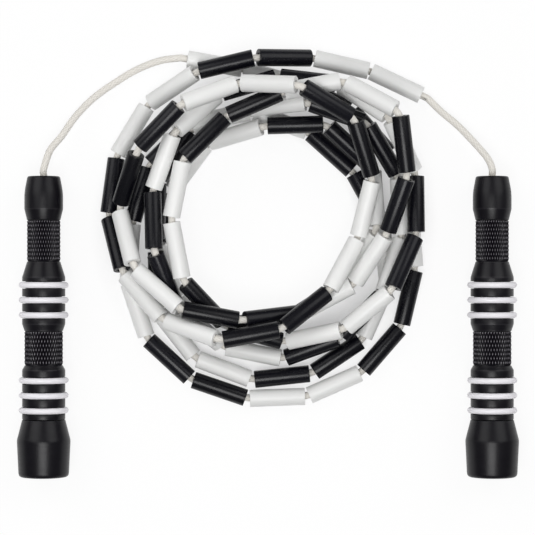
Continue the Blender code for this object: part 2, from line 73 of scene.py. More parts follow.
# Handle, measured along its axis from the nose, as in the CAD
COLLAR_LENGTH = 19.4 * MM
COLLAR_NOSE_DIAMETER = 14.7 * MM
COLLAR_DIAMETER = 17.5 * MM
COLLAR_SHOULDER = 7.3 * MM
COLLAR_TAPER_LENGTH = 4.5 * MM
FRONT_GRIP_DIAMETER = 15.2 * MM
FRONT_GRIP_LENGTH = 19.6 * MM
FLARE_LENGTH = 6.8 * MM
BAND_DIAMETER = 19.5 * MM
FRONT_BAND_LENGTH = 21.2 * MM
REAR_GRIP_DIAMETER = 17.5 * MM
REAR_GRIP_LENGTH = 16.2 * MM
GRIP_STEP = 2.9 * MM
REAR_STEP = 1.7 * MM
REAR_BAND_LENGTH = 22.3 * MM
BELL_LENGTH = 26.3 * MM
BELL_FLARE = 9.6 * MM
BELL_DIAMETER = 24.3 * MM
BUTT_DIAMETER = 22.7 * MM
SEAT_GAP = 0.3 * MM
SHUT_GAP = 0.05 * MM
COLLAR_BORE = 12.6 * MM
COLLAR_WALL_END = 7.4 * MM
SPIGOT_START = 13.4 * MM
SPIGOT_DIAMETER = 12.4 * MM
BARREL_BORE = 10.0 * MM
NOSE_HOLE = 6.0 * MM
PLUG_LENGTH = 10.0 * MM
HANDLE_COLUMNS = 72

# Roundings of the handle's edges: the tight ones are painted lighter, partly as rubbed wear and
# partly as a highlight
NOSE_HOLE_EDGE = 0.3 * MM
NOSE_EDGE = 0.9 * MM
SHOULDER_EDGE = 2.6 * MM
COLLAR_RIM = 0.35 * MM
COLLAR_END_EDGE = 0.1 * MM
GRIP_EDGE = 0.15 * MM
GROOVE_EDGE = 0.15 * MM
FLARE_EDGE = 0.5 * MM
BAND_EDGE = 0.4 * MM
SEAM_EDGE = 0.2 * MM
BELL_EDGE = 0.9 * MM
BUTT_EDGE = 1.9 * MM
FILLET_STEPS = 4
LIGHTENED_ROUNDING = 0.6 * MM
EDGE_WEAR_AND_HIGHLIGHT = 0.035
SHARP_ANGLE_DEG = 32.0

# Grip rings and knurling
RING_SECTION = 2.7 * MM
RING_OUTER_DIAMETER = 22.5 * MM
RING_PITCH = 6.8 * MM
FRONT_RING_INSET = 3.5 * MM
REAR_RING_INSET = 4.7 * MM
RINGS_PER_BAND = 3
RING_SIDES = 20
RING_FLASH = 0.04 * MM
KNURL_ROW = 1.82 * MM
KNURL_DEPTH = 0.5 * MM
KNURL_DIAMONDS = 40
KNURL_STEPS = 4
KNURL_MARGIN = 0.4 * MM
# Knurl points get a painted glint, and knurl grooves get a painted shade by turning down their
# reflection
GLINT_SHARPNESS = 6
GROOVE_SHADE = 0.3

# Cord and beads, as in the CAD
CORD_DIAMETER = 3.3 * MM
CORD_SIDES = 32
CORD_START = 14.3 * MM
LEAD_STEPS = 12
BRAID_PITCH = 2.3 * MM
BRAID_STRANDS = 16
BRAID_RELIEF = 0.14 * MM
BRAID_SAMPLE = 0.25 * MM
KNOT_INSET = 18.1 * MM
KNOT_SPREAD = 2.025 * MM
KNOT_SLIMNESS = 0.55
KNOT_POINTS = 120
KNOT_CORD_DIAMETER = 2.4 * MM
BEAD_LENGTH = 25.2 * MM
BEAD_DIAMETER = 7.9 * MM
BEAD_BORE = 4.2 * MM
BEAD_EDGE = 0.3 * MM
BEAD_BORE_EDGE = 0.15 * MM
BEAD_SIDES = 32
BEAD_COUNT = 98
LOOSE_BEADS = 8
BEAD_CLEARANCE = 0.5 * MM
LEAST_JOINT_GAP = 0.8 * MM
BEND_INSIDE_BEAD = 3.0 * MM
BEND_STEPS = 8
CORD_STUB = 3.3 * MM

# Coil: how far the rope lies from the middle at each eighth of a turn, in bead lengths,
# counter-clockwise from the right. Read off the photo to a twentieth and then changed
COIL_CENTRE = (-1.8 * MM, 45.6 * MM)
COIL_START_DEG = 39.6
MARKS_PER_TURN = 8
COIL_REACH = (
    (4.8, 3.6, 3.05, 3.05, 2.8, 2.45, 1.95, 1.65),
    (1.75, 2.45, 2.55, 2.6, 2.6, 2.1, 1.65, 1.85),
    (2.25, 3.15, 2.25, 1.9, 1.65, 1.8, 2.05, 2.4),
    (2.75, 2.95, 2.65, 2.3, 2.0, 2.15, 2.4, 2.45),
    (2.5, 2.6, 2.15, 2.2, 1.95, 2.05, 1.75, 1.75),
    (2.05, 2.25, 1.8, 1.85, 1.85, 2.55, 2.8, 2.7),
    (2.15, 1.85, 2.05, 2.35, 2.4, 2.95, 3.15, 3.15),
    (2.7, 2.65, 2.75, 3.8),
)
ROUTE_STEP_DEG = 1.0
THREADING_ROUNDS = 6
TUCKED_BEADS = range(5, 10)
TUCKED_UNDER_BEAD = 22
SETTLE_ROUNDS = 600
SETTLE_TOLERANCE = 0.01 * MM
FLOOR_GAP = 0.1 * MM
LEAST_SQUARE = 1e-18

# Free cord between each handle and the coil: across, along and up, in millimetres
LEFT_LEAD = (
    (-98.9, 80.1, 10.6),
    (-93.7, 86.9, 8.2),
    (-88.0, 95.5, 5.6),
    (-80.0, 104.1, 3.4),
    (-70.8, 110.9, 2.4),
    (-60.1, 117.4, 2.1),
    (-49.5, 121.4, 2.8),
)
RIGHT_LEAD = (
    (99.6, 76.5, 11.2),
    (93.4, 84.2, 8.6),
    (86.2, 91.9, 6.2),
    (79.4, 97.8, 4.7),
)

# Looks: noise scales are per metre, and pairs run from low to high
EVEN = (1.0, 1.0, 1.0)
NOISE_DETAIL = 3.0
NOISE_RANGE = (0.3, 0.7)
ANODISED_COLOURS = ((0.0022, 0.0018, 0.0036), (0.0042, 0.0036, 0.0062))
# Lighter colour for tight edges, partly wear and partly painted highlight, and for the painted
# glints on the knurl points
WORN_AND_GLINT_COLOUR = (0.33, 0.315, 0.345)
ANODISED_ROUGHNESS = (0.30, 0.40)
# The low end of this specular range is the painted shade in the knurl grooves
ANODISED_SPECULAR = (0.05, 0.27)
TURNING_SCALE = 2600.0
TURNING_STRETCH = (0.03, 1.0, 0.03)
TURNING_DETAIL = 2.0
TURNING_DEPTH = 0.02 * MM
TURNING_STRENGTH = 0.35
CLOUD_SCALE = 160.0
RUBBER_COLOURS = ((0.83, 0.815, 0.85), (0.88, 0.865, 0.90))
RUBBER_ROUGHNESS = (0.45, 0.6)
RUBBER_SPECULAR = 0.4
BLOOM_SCALE = 240.0
GRAIN_SCALE = 5200.0
GRAIN_DEPTH = 0.02 * MM
GRAIN_STRENGTH = 0.4
WHITE_COLOURS = ((0.775, 0.777, 0.767), (0.835, 0.837, 0.825))
WHITE_ROUGHNESS = (0.34, 0.46)
WHITE_SPECULAR = 0.5
BLACK_COLOURS = ((0.0026, 0.0026, 0.0044), (0.0052, 0.0052, 0.0084))
BLACK_ROUGHNESS = (0.24, 0.31)
BLACK_SPECULAR = 0.27
STREAK_SCALE = 2400.0
STREAK_STRETCH = (1.0, 1.0, 0.02)
STREAK_DEPTH = 0.01 * MM
STREAK_STRENGTH = 0.1
SCUFF_SCALE = 420.0
SCUFF_STRETCH = (1.0, 1.0, 0.5)
SCUFF_DETAIL = 6.0
BEAD_SEED = 7
BEAD_NOISE_SPACING = 10 * BEAD_LENGTH
STRAND_COLOURS = ((0.72, 0.69, 0.635), (0.87, 0.85, 0.81))
# Painted shade in the braid's furrows
FURROW_SHADE_COLOUR = (0.50, 0.465, 0.40)
FURROW_SHADE_RANGE = (0.0, 0.6)
CORD_ROUGHNESS = 0.8
CORD_SPECULAR = 0.25
CORD_SHEEN = 0.3
CORD_SHEEN_ROUGHNESS = 0.5
FIBRE_SCALE = 3800.0
FIBRE_DETAIL = 5.0
FIBRE_DEPTH = 0.05 * MM
FIBRE_STRENGTH = 0.5
STEEL_COLOURS = ((0.50, 0.50, 0.52), (0.66, 0.66, 0.68))
STEEL_ROUGHNESS = (0.2, 0.34)
BRASS_COLOURS = ((0.62, 0.45, 0.18), (0.78, 0.60, 0.28))
BRASS_ROUGHNESS = (0.26, 0.4)
LATHE_SCALE = 3200.0
LATHE_STRETCH = (0.05, 1.0, 0.05)
LATHE_DEPTH = 0.01 * MM
LATHE_STRENGTH = 0.3

# Sockets of a Mix node for colours, which have the same names as those for its other kinds
MIX_FIRST, MIX_SECOND, MIX_RESULT = 6, 7, 2

# Distances along the handle that follow from the sizes above
GRIP_START = COLLAR_LENGTH + SEAT_GAP
COLLAR_END = GRIP_START - SHUT_GAP
GRIP_END = COLLAR_LENGTH + FRONT_GRIP_LENGTH
FRONT_BAND_START = GRIP_END + FLARE_LENGTH
FRONT_BAND_END = FRONT_BAND_START + FRONT_BAND_LENGTH
REAR_GRIP_START = FRONT_BAND_END + GRIP_STEP
REAR_GRIP_END = REAR_GRIP_START + REAR_GRIP_LENGTH
REAR_BAND_START = REAR_GRIP_END + REAR_STEP
BARREL_END = REAR_BAND_START + REAR_BAND_LENGTH
HANDLE_LENGTH = BARREL_END + BELL_LENGTH
RING_RADIUS = (RING_OUTER_DIAMETER - RING_SECTION) / 2
GROOVE_RADIUS = RING_RADIUS - RING_SECTION / 2 - SEAT_GAP
GROOVE_HALF_WIDTH = RING_SECTION / 2 + SEAT_GAP


def set_inputs(node, values):
    """Sets some of a node's inputs, named with _ for a space."""
    for name, value in values.items():
        node.inputs[name.replace("_", " ")].default_value = value


def node_with(tree, kind, **values):
    """A shader node with some of its inputs set."""
    node = tree.nodes.new(kind)
    set_inputs(node, values)
    return node


def new_material(name, **values):
    """A material with its node tree and its shader."""
    material = bpy.data.materials.new(name)
    material.use_nodes = True
    shader = material.node_tree.nodes["Principled BSDF"]
    set_inputs(shader, values)
    return material, material.node_tree, shader


def stretched_noise(tree, source, scale, stretch, detail=NOISE_DETAIL):
    """Noise on some coordinates, drawn out by a factor on each axis."""
    mapping = node_with(tree, "ShaderNodeMapping", Scale=stretch)
    noise = node_with(tree, "ShaderNodeTexNoise", Scale=scale, Detail=detail)
    tree.links.new(source, mapping.inputs["Vector"])
    tree.links.new(mapping.outputs["Vector"], noise.inputs["Vector"])
    return noise.outputs["Fac"]


def ranged(tree, source, to_range, from_range=NOISE_RANGE):
    """A value carried over from one range to another."""
    node = node_with(
        tree,
        "ShaderNodeMapRange",
        From_Min=from_range[0],
        From_Max=from_range[1],
        To_Min=to_range[0],
        To_Max=to_range[1],
    )
    tree.links.new(source, node.inputs["Value"])
    return node.outputs["Result"]


def mixed(tree, share, first, second):
    """A colour between two, each a colour or a socket."""
    node = tree.nodes.new("ShaderNodeMix")
    node.data_type = "RGBA"
    tree.links.new(share, node.inputs["Factor"])
    for socket, value in ((node.inputs[MIX_FIRST], first), (node.inputs[MIX_SECOND], second)):
        if isinstance(value, bpy.types.NodeSocket):
            tree.links.new(value, socket)
        else:
            socket.default_value = (*value, 1.0)
    return node.outputs[MIX_RESULT]


def calculated(tree, operation, first, second):
    """The result of a sum on two sockets."""
    node = tree.nodes.new("ShaderNodeMath")
    node.operation = operation
    tree.links.new(first, node.inputs[0])
    tree.links.new(second, node.inputs[1])
    return node.outputs[0]


def bumped(tree, shader, height, depth, strength):
    """Raises and sinks a material's surface by a height."""
    bump = node_with(tree, "ShaderNodeBump", Strength=strength, Distance=depth)
    tree.links.new(height, bump.inputs["Height"])
    tree.links.new(bump.outputs["Normal"], shader.inputs["Normal"])


def object_place(tree):
    """Where a point lies on its own object."""
    return tree.nodes.new("ShaderNodeTexCoord").outputs["Object"]


def stored(tree, name):
    """A value that the mesh holds at each point."""
    node = tree.nodes.new("ShaderNodeAttribute")
    node.attribute_name = name
    return node


def anodised_material():
    """Satin black anodising with turning lines; tight edges painted lighter as wear and highlight,
    knurl points painted with glints, knurl grooves with shade.
    """
    material, tree, shader = new_material("black_anodised")
    place = object_place(tree)
    lines = stretched_noise(tree, place, TURNING_SCALE, TURNING_STRETCH, TURNING_DETAIL)
    cloud = stretched_noise(tree, place, CLOUD_SCALE, EVEN)
    # Stored per point: edges painted lighter as wear and highlight, glints painted on knurl points,
    # shade painted in knurl grooves
    wear_and_painted_light = stored(tree, "wear_and_painted_light").outputs["Fac"]
    plain = mixed(tree, cloud, *ANODISED_COLOURS)
    tree.links.new(mixed(tree, wear_and_painted_light, plain, WORN_AND_GLINT_COLOUR), shader.inputs["Base Color"])
    tree.links.new(ranged(tree, lines, ANODISED_ROUGHNESS), shader.inputs["Roughness"])
    specular = ranged(tree, wear_and_painted_light, ANODISED_SPECULAR, (-GROOVE_SHADE, 0.0))
    tree.links.new(specular, shader.inputs["Specular IOR Level"])
    bumped(tree, shader, lines, TURNING_DEPTH, TURNING_STRENGTH)
    return material


def rubber_material():
    """White silicone with a faint bloom and a moulded surface."""
    material, tree, shader = new_material("white_rubber", Specular_IOR_Level=RUBBER_SPECULAR)
    place = object_place(tree)
    bloom = stretched_noise(tree, place, BLOOM_SCALE, EVEN)
    grain = stretched_noise(tree, place, GRAIN_SCALE, EVEN)
    tree.links.new(mixed(tree, bloom, *RUBBER_COLOURS), shader.inputs["Base Color"])
    tree.links.new(ranged(tree, bloom, RUBBER_ROUGHNESS), shader.inputs["Roughness"])
    bumped(tree, shader, grain, GRAIN_DEPTH, GRAIN_STRENGTH)
    return material


def bead_material(name, colours, roughness, specular):
    """Extruded plastic: streaks along each bead, and a shade of its own for every bead."""
    material, tree, shader = new_material(name, Specular_IOR_Level=specular)
    place = stored(tree, "bead_place").outputs["Vector"]
    streaks = stretched_noise(tree, place, STREAK_SCALE, STREAK_STRETCH)
    scuffs = stretched_noise(tree, place, SCUFF_SCALE, SCUFF_STRETCH, SCUFF_DETAIL)
    shade = stored(tree, "bead_shade").outputs["Fac"]
    tree.links.new(mixed(tree, shade, *colours), shader.inputs["Base Color"])
    tree.links.new(ranged(tree, scuffs, roughness), shader.inputs["Roughness"])
    bumped(tree, shader, streaks, STREAK_DEPTH, STREAK_STRENGTH)
    return material


def cord_material():
    """Cream braid: the furrows painted darker than the strands as shade, with fine fibres."""
    material, tree, shader = new_material(
        "braided_cord",
        Roughness=CORD_ROUGHNESS,
        Specular_IOR_Level=CORD_SPECULAR,
        Sheen_Weight=CORD_SHEEN,
        Sheen_Roughness=CORD_SHEEN_ROUGHNESS,
    )
    relief = stored(tree, "braid").outputs["Fac"]
    fibres = stretched_noise(tree, object_place(tree), FIBRE_SCALE, EVEN, FIBRE_DETAIL)
    strand = mixed(tree, fibres, *STRAND_COLOURS)
    raised = ranged(tree, relief, (0.0, 1.0), FURROW_SHADE_RANGE)
    # The braid's furrows get a painted shade
    tree.links.new(mixed(tree, raised, FURROW_SHADE_COLOUR, strand), shader.inputs["Base Color"])
    bumped(tree, shader, fibres, FIBRE_DEPTH, FIBRE_STRENGTH)
    return material


def turned_metal(name, colours, roughness):
    """Bare turned metal with lathe lines round the handle's axis."""
    material, tree, shader = new_material(name, Metallic=1.0)
    lines = stretched_noise(tree, object_place(tree), LATHE_SCALE, LATHE_STRETCH)
    tree.links.new(mixed(tree, lines, *colours), shader.inputs["Base Color"])
    tree.links.new(ranged(tree, lines, roughness), shader.inputs["Roughness"])
    bumped(tree, shader, lines, LATHE_DEPTH, LATHE_STRENGTH)
    return material


def add_object(name, data):
    """A new object in the scene."""
    item = bpy.data.objects.new(name, data)
    bpy.context.scene.collection.objects.link(item)
    return item


def add_piece(name, mesh, material, body, nodes):
    """One visible piece that rides on a body and stands for the given CAD nodes."""
    mesh.materials.append(material)
    piece = add_object(name, mesh)
    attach(piece, body)
    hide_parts(*nodes)
    return piece


def store(mesh, name, kind, values):
    """Keeps a value at each point of the mesh for its material."""
    attribute = mesh.attributes.new(name, kind, "POINT")
    field = "vector" if kind == "FLOAT_VECTOR" else "value"
    attribute.data.foreach_set(field, np.asarray(values, np.float32).ravel())


def write_outward(shape, mesh):
    """Writes a shape to a mesh, with its faces turned outward."""
    bmesh.ops.recalc_face_normals(shape, faces=shape.faces)
    shape.to_mesh(mesh)
    shape.free()


def turn_outward(mesh):
    """Turns a mesh's faces outward."""
    shape = bmesh.new()
    shape.from_mesh(mesh)
    write_outward(shape, mesh)


def smooth(mesh):
    """Smooth shading, with the sharp edges kept."""
    mesh.shade_smooth()
    mesh.set_sharp_from_angle(angle=math.radians(SHARP_ANGLE_DEG))


def rounded(corners):
    """Rows (along, radius, painted edge wear and highlight, row of knurl) through corners (along,
    radius, rounding).
    """
    rows = []
    for i, (along, radius, rounding) in enumerate(corners):
        if rounding == 0.0:
            rows.append((along, radius, 0.0, None))
            continue
        corner = Vector((along, radius))
        before = Vector(corners[i - 1][:2]) - corner
        after = Vector(corners[(i + 1) % len(corners)][:2]) - corner
        start = corner + before.normalized() * rounding
        end = corner + after.normalized() * rounding
        # Tight roundings are painted lighter, partly as rubbed wear and partly as a highlight
        most_wear_and_highlight = EDGE_WEAR_AND_HIGHLIGHT if rounding < LIGHTENED_ROUNDING else 0.0
        for step in range(FILLET_STEPS + 1):
            t = step / FILLET_STEPS
            point = start * (1 - t) ** 2 + corner * 2 * t * (1 - t) + end * t**2
            rows.append((point.x, point.y, most_wear_and_highlight * math.sin(math.pi * t), None))
    return rows


def knurl(start, end, diameter):
    """Two rows of points for each row of diamonds across a grip."""
    start, end = start + KNURL_MARGIN, end - KNURL_MARGIN
    count = 2 * round((end - start) / KNURL_ROW)
    low = diameter / 2 - KNURL_DEPTH
    rows = [(start, low, 0.0, None)]
    for i in range(count):
        rows.append((start + (end - start) * (i + 0.5) / count, diameter / 2, 0.0, i / 2))
    return [*rows, (end, low, 0.0, None)]


def diamond(column, row):
    """Height of the knurling, from 0 in a groove to 1 on the point of a diamond."""
    across = column / KNURL_STEPS
    one, other = across + row / 2, across - row / 2
    return 1 - 2 * max(abs(one - round(one)), abs(other - round(other)))


def turned_point(nose, along, reach, angle):
    """A point at a distance from the handle's axis, along it from the nose and turned about it."""
    return nose + Vector((reach * math.cos(angle), -along, reach * math.sin(angle)))


def turned_piece(rows, nose, columns, closed):
    """A mesh turned about the handle's axis from its rows, with diamonds where they are knurled."""
    shape = bmesh.new()
    wear_and_light_layer = shape.verts.layers.float.new("wear_and_painted_light")
    rings = []
    for along, radius, wear_and_painted_light, knurl_row in rows:
        ring = []
        for column in range(columns if radius > 0 else 1):
            height = 1.0 if knurl_row is None else diamond(column, knurl_row)
            reach = radius - KNURL_DEPTH * (1 - height)
            angle = 2 * math.pi * column / columns
            vert = shape.verts.new(turned_point(nose, along, reach, angle))
            # The knurl's points are painted with a glint and its grooves with shade
            knurl_painted_light = height**GLINT_SHARPNESS - GROOVE_SHADE * (1 - height)
            vert[wear_and_light_layer] = wear_and_painted_light if knurl_row is None else knurl_painted_light
            ring.append(vert)
        rings.append(ring)
    pairs = list(zip(rows, rings))
    next_pairs = pairs[1:] + pairs[:1] if closed else pairs[1:]
    for (row, ring), (next_row, next_ring) in zip(pairs, next_pairs):
        knurled = row[3] is not None and next_row[3] is not None
        for column in range(columns):
            corners = [
                ring[column % len(ring)],
                ring[(column + 1) % len(ring)],
                next_ring[(column + 1) % len(next_ring)],
                next_ring[column % len(next_ring)],
            ]
            if knurled:
                # The painted glint rises with height, so each square is split along its groove
                painted_lights = [corner[wear_and_light_layer] for corner in corners]
                turn = 0 if painted_lights[0] + painted_lights[2] < painted_lights[1] + painted_lights[3] else 1
                corners = corners[turn:] + corners[:turn]
                shape.faces.new((corners[0], corners[1], corners[2]))
                shape.faces.new((corners[0], corners[2], corners[3]))
            else:
                shape.faces.new(list(dict.fromkeys(corners)))
    mesh = bpy.data.meshes.new("turned")
    write_outward(shape, mesh)
    smooth(mesh)
    return mesh


def collar_rows():
    """The nose collar, from the edge of its hole over the outside and back through the bore."""
    return rounded(
        [
            (0.0, NOSE_HOLE / 2, NOSE_HOLE_EDGE),
            (0.0, COLLAR_NOSE_DIAMETER / 2, NOSE_EDGE),
            (COLLAR_SHOULDER, COLLAR_DIAMETER / 2, SHOULDER_EDGE),
            (COLLAR_LENGTH - COLLAR_TAPER_LENGTH, COLLAR_DIAMETER / 2, COLLAR_RIM),
            (COLLAR_END, FRONT_GRIP_DIAMETER / 2, COLLAR_END_EDGE),
            (COLLAR_END, COLLAR_BORE / 2 + SEAT_GAP, 0.0),
            (SPIGOT_START, COLLAR_BORE / 2 + SEAT_GAP, 0.0),
            (SPIGOT_START, COLLAR_BORE / 2, 0.0),
            (COLLAR_WALL_END, COLLAR_BORE / 2, 0.0),
            (COLLAR_WALL_END, NOSE_HOLE / 2, 0.0),
        ]
    )


def ring_places():
    """Where the grip rings sit along the handle, on its front band and its rear band."""
    steps = [i * RING_PITCH for i in range(RINGS_PER_BAND)]
    front = [FRONT_BAND_START + FRONT_RING_INSET + step for step in steps]
    rear = [REAR_BAND_START + REAR_RING_INSET + step for step in steps]
    return front, rear


def grooves(places):
    """The corners that cut one ring groove at each place into a band."""
    corners = []
    for place in places:
        corners += [
            (place - GROOVE_HALF_WIDTH, BAND_DIAMETER / 2, GROOVE_EDGE),
            (place - GROOVE_HALF_WIDTH, GROOVE_RADIUS, 0.0),
            (place + GROOVE_HALF_WIDTH, GROOVE_RADIUS, 0.0),
            (place + GROOVE_HALF_WIDTH, BAND_DIAMETER / 2, GROOVE_EDGE),
        ]
    return corners


def barrel_rows():
    """The grip barrel, from its spigot over the outside and back to the bore, with its knurling."""
    front, rear = ring_places()
    bore_corners = [(BARREL_END, BARREL_BORE / 2, 0.0), (SPIGOT_START, BARREL_BORE / 2, 0.0)]
    rows = rounded(
        [
            (SPIGOT_START, SPIGOT_DIAMETER / 2, 0.0),
            (GRIP_START, SPIGOT_DIAMETER / 2, 0.0),
            (GRIP_START, FRONT_GRIP_DIAMETER / 2, GRIP_EDGE),
            (GRIP_END, FRONT_GRIP_DIAMETER / 2, GRIP_EDGE),
            (FRONT_BAND_START, BAND_DIAMETER / 2, FLARE_EDGE),
            *grooves(front),
            (FRONT_BAND_END, BAND_DIAMETER / 2, BAND_EDGE),
            (REAR_GRIP_START, REAR_GRIP_DIAMETER / 2, GRIP_EDGE),
            (REAR_GRIP_END, REAR_GRIP_DIAMETER / 2, GRIP_EDGE),
            (REAR_BAND_START, BAND_DIAMETER / 2, BAND_EDGE),
            *grooves(rear),
            (BARREL_END, BAND_DIAMETER / 2, SEAM_EDGE),
            *bore_corners,
        ]
    )
    for start, end, diameter in (
        (GRIP_START, GRIP_END, FRONT_GRIP_DIAMETER),
        (REAR_GRIP_START, REAR_GRIP_END, REAR_GRIP_DIAMETER),
    ):
        middle = (start + end) / 2
        outside = rows[: -len(bore_corners)]
        last_before = max(i for i, row in enumerate(outside) if row[0] < middle)
        rows[last_before + 1 : last_before + 1] = knurl(start, end, diameter)
    return rows


def bell_rows():
    """The end bell, from the tip of its plug to the middle of its butt."""
    face = BARREL_END + SEAT_GAP
    plug_radius = BARREL_BORE / 2 - SEAT_GAP
    tip = BARREL_END - PLUG_LENGTH
    outline = rounded(
        [
            (tip, plug_radius, 0.0),
            (face, plug_radius, 0.0),
            (face, BAND_DIAMETER / 2, SEAM_EDGE),
            (BARREL_END + BELL_FLARE, BELL_DIAMETER / 2, BELL_EDGE),
            (HANDLE_LENGTH, BUTT_DIAMETER / 2, BUTT_EDGE),
            (HANDLE_LENGTH, BUTT_DIAMETER / 4, 0.0),
        ]
    )
    return [(tip, 0.0, 0.0, None), *outline, (HANDLE_LENGTH, 0.0, 0.0, None)]


def ring_mesh(nose, place):
    """A rubber ring with the faint flash that its mould leaves round the outside."""
    shape = bmesh.new()
    rings = []
    for column in range(HANDLE_COLUMNS):
        angle = 2 * math.pi * column / HANDLE_COLUMNS
        ring = []
        for side in range(RING_SIDES):
            turn = 2 * math.pi * side / RING_SIDES
            section = RING_SECTION / 2 + (RING_FLASH if side == 0 else 0.0)
            reach = RING_RADIUS + section * math.cos(turn)
            along = place + section * math.sin(turn)
            ring.append(shape.verts.new(turned_point(nose, along, reach, angle)))
        rings.append(ring)
    for ring, next_ring in zip(rings, rings[1:] + rings[:1]):
        for side in range(RING_SIDES):
            after = (side + 1) % RING_SIDES
            shape.faces.new((ring[side], ring[after], next_ring[after], next_ring[side]))
    mesh = bpy.data.meshes.new("grip_ring")
    write_outward(shape, mesh)
    mesh.shade_smooth()
    return mesh


def nose_of(side):
    """The middle of a handle's nose, from the CAD."""
    low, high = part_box(f"{side}_end_bell")
    return Vector(((low.x + high.x) / 2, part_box(f"{side}_nose_collar")[1].y, (low.z + high.z) / 2))


def add_handle(side, cad_nodes, anodised, rubber, steel, brass):
    """One handle's visible pieces, and the metals of the swivel inside it."""
    nose = nose_of(side)
    body = f"{side}_handle"
    for part, rows, columns, closed in (
        ("nose_collar", collar_rows(), HANDLE_COLUMNS, True),
        ("grip_barrel", barrel_rows(), KNURL_DIAMONDS * KNURL_STEPS, True),
        ("end_bell", bell_rows(), HANDLE_COLUMNS, False),
    ):
        node = f"{side}_{part}"
        mesh = turned_piece(rows, nose, columns, closed)
        add_piece(f"{node}_finish", mesh, anodised, body, [node])
    front, rear = ring_places()
    for index, place in enumerate(front + rear, start=1):
        node = f"{side}_grip_ring_{index}"
        add_piece(f"{node}_finish", ring_mesh(nose, place), rubber, body, [node])
    for name in INNER_STEEL:
        cad_nodes[f"{side}_{name}"].material_slots[0].material = steel
    cad_nodes[f"{side}_swivel_sleeve"].material_slots[0].material = brass


# The route of the rope, as in the CAD


def between(before, start, end, after, share):
    """A smooth curve from start to end, given the points on either side."""
    straight = 2 * start + (end - before) * share
    bend = (2 * before - 5 * start + 4 * end - after) * share**2
    turn = (3 * start - before - 3 * end + after) * share**3
    return (straight + bend + turn) / 2


def smooth_line(points, steps):
    """Points along a smooth curve through the given ones."""
    points = [np.array(point, float) for point in points]
    ends = [2 * points[0] - points[1], *points, 2 * points[-1] - points[-2]]
    line = [
        between(*ends[i : i + 4], step / steps)
        for i in range(len(points) - 1)
        for step in range(steps)
    ]
    return np.array([*line, points[-1]])


def travelled(line):
    """How far each point of a line lies from its start, along it."""
    lengths = np.linalg.norm(np.diff(line, axis=0), axis=1)
    return np.concatenate([[0.0], np.cumsum(lengths)])


def spaced(line, spacing):
    """Points about this far apart along a line, with both its ends."""
    travel = travelled(line)
    places = np.linspace(0.0, travel[-1], max(2, round(travel[-1] / spacing) + 1))
    return np.stack([np.interp(places, travel, line[:, k]) for k in range(3)], axis=1)


def coil_line():
    """The coil's route seen from above, from its right-hand end."""
    marks = [mark * BEAD_LENGTH for turn in COIL_REACH for mark in turn]
    marks = [marks[0], *marks, marks[-1]]
    mark_deg = 360.0 / MARKS_PER_TURN
    last_deg = (len(marks) - 3) * mark_deg
    line = []
    for degrees in np.arange(COIL_START_DEG, last_deg, ROUTE_STEP_DEG):
        index, share = divmod(degrees / mark_deg, 1.0)
        index = int(index)
        reach = between(*marks[index : index + 4], share)
        angle = math.radians(degrees)
        across, along = reach * math.cos(angle), reach * math.sin(angle)
        line.append((COIL_CENTRE[0] + across, COIL_CENTRE[1] + along))
    return np.array(line)


def joint_gaps(joints):
    """The gap that each joint's bend needs, so that the rims of its two beads stay apart."""
    runs = np.diff(joints, axis=0)
    runs /= np.linalg.norm(runs, axis=1)[:, None]
    bends = np.arccos(np.clip((runs[1:] * runs[:-1]).sum(axis=1), -1.0, 1.0))
    gaps = BEAD_DIAMETER * np.tan(bends / 2) + BEAD_CLEARANCE
    gaps = np.maximum(gaps, LEAST_JOINT_GAP)
    return np.concatenate([[LEAST_JOINT_GAP], gaps, [LEAST_JOINT_GAP]])


def thread_beads(line):
    """The joints between the beads, stepped along the route so that each bead fits."""
    pitches = np.full(BEAD_COUNT, BEAD_LENGTH + LEAST_JOINT_GAP)
    for _ in range(THREADING_ROUNDS):
        joints = [line[0]]
        place = 0
        for pitch in pitches:
            while np.linalg.norm(line[place] - joints[-1]) < pitch:
                place += 1
            near, far = line[place - 1], line[place]
            start = np.linalg.norm(near - joints[-1])
            end = np.linalg.norm(far - joints[-1])
            joints.append(near + (far - near) * (pitch - start) / (end - start))
        joints = np.array(joints)
        gaps = joint_gaps(joints)
        pitches = BEAD_LENGTH + (gaps[1:] + gaps[:-1]) / 2
    return joints


def laid_order(bead):
    """How early a bead was laid: the left end first, and one stretch tucked under the next turn."""
    return TUCKED_UNDER_BEAD + 0.5 if bead in TUCKED_BEADS else bead


def nearest_shares(start_a, run_a, start_b, run_b):
    """Where two sets of straight runs pass nearest each other, as shares of each run."""
    apart = start_a - start_b
    aa = (run_a * run_a).sum(axis=1)
    bb = (run_b * run_b).sum(axis=1)
    ab = (run_a * run_b).sum(axis=1)
    a_apart = (run_a * apart).sum(axis=1)
    b_apart = (run_b * apart).sum(axis=1)
    square = np.maximum(aa * bb - ab * ab, LEAST_SQUARE)
    share_a = np.clip((ab * b_apart - a_apart * bb) / square, 0.0, 1.0)
    share_b = np.clip((ab * share_a + b_apart) / bb, 0.0, 1.0)
    share_a = np.clip((ab * share_b - a_apart) / aa, 0.0, 1.0)
    return share_a, share_b


def bead_pairs():
    """Every two beads that aren't neighbours, as the upper ones and the lower ones."""
    pairs = []
    for low in range(BEAD_COUNT):
        for high in range(low + 2, BEAD_COUNT):
            pair = (low, high) if laid_order(low) < laid_order(high) else (high, low)
            pairs.append(pair)
    return np.array(pairs).T


